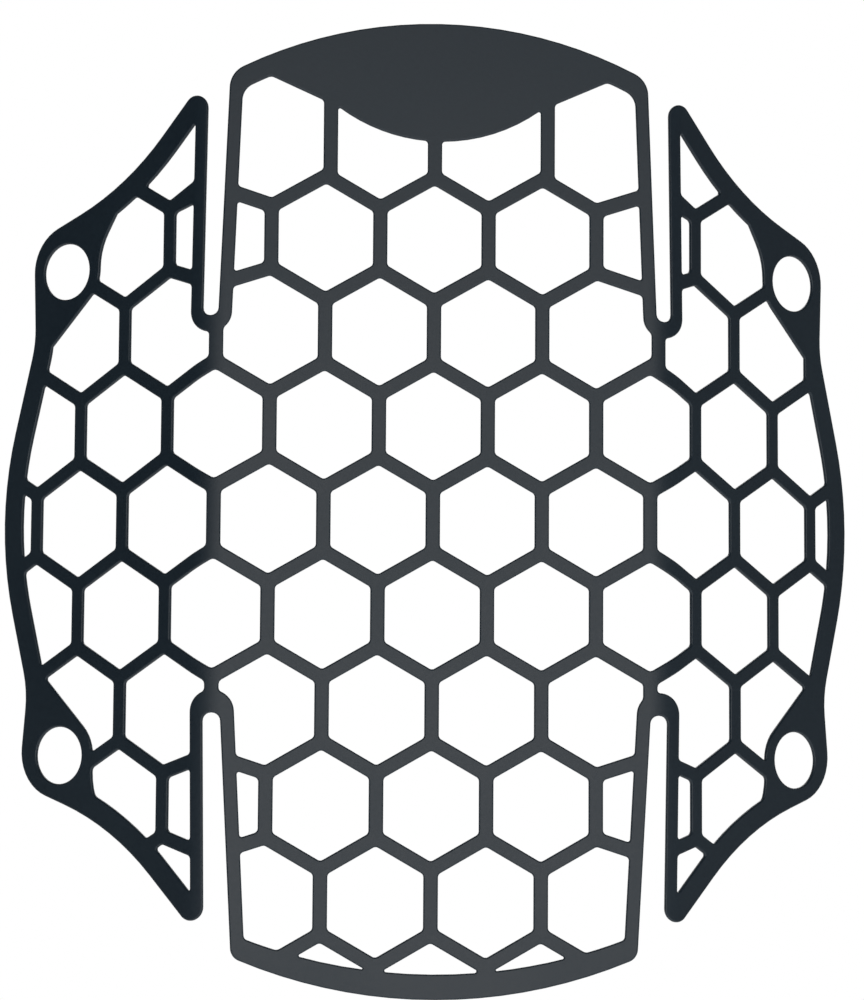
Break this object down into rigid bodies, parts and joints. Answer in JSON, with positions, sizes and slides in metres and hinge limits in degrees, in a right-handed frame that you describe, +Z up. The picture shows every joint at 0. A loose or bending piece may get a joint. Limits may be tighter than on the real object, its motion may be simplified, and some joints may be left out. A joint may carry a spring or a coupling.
{
  "type": "headlight guard",
  "caption": "Honeycomb headlight guard of thin sheet steel with a solid top plate, slotted flaps and side wings bent back to fixing ears.",
  "frame": {"origin": "centre of the guard's bounding box: middle of its width, height and depth", "axes": "+Z up, +X to the right for someone who faces the front, the front looks along -Y and the wings reach back along +Y"},
  "size_m": [0.1934, 0.0328, 0.215],
  "materials": {
    "black_powder_coat": "satin"
  },
  "bodies": {
    "root": {"guard": "black_powder_coat"}
  },
  "joints": []
}
